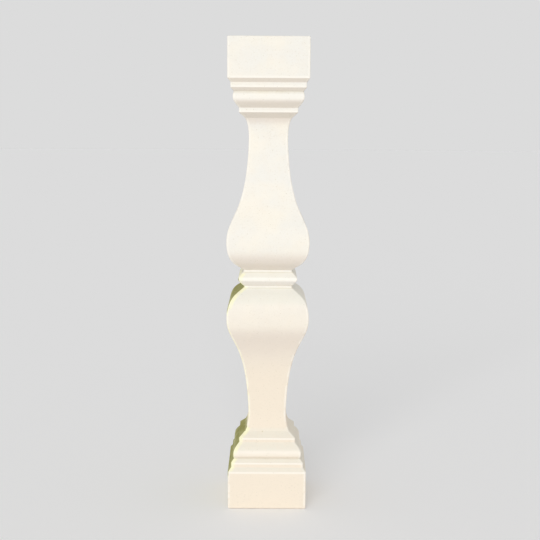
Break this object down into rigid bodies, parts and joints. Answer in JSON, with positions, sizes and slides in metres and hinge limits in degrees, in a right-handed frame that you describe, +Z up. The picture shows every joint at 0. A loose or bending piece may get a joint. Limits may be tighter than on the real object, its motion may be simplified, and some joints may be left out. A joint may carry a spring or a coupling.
{
  "type": "stone baluster",
  "caption": "Square-plan stone baluster: mirrored bellied shafts meet at a middle ring, with stepped mouldings and a square block at each end; stands on its base and carries a handrail.",
  "frame": {"origin": "middle of the underside, on the surface the baluster stands on", "axes": "+Z up along the baluster's axis; the four flat faces look along +X, -X, +Y and -Y"},
  "size_m": [0.125, 0.125, 0.72],
  "materials": {
    "cast_stone": "matte"
  },
  "bodies": {
    "root": {"baluster": "cast_stone"}
  },
  "joints": []
}
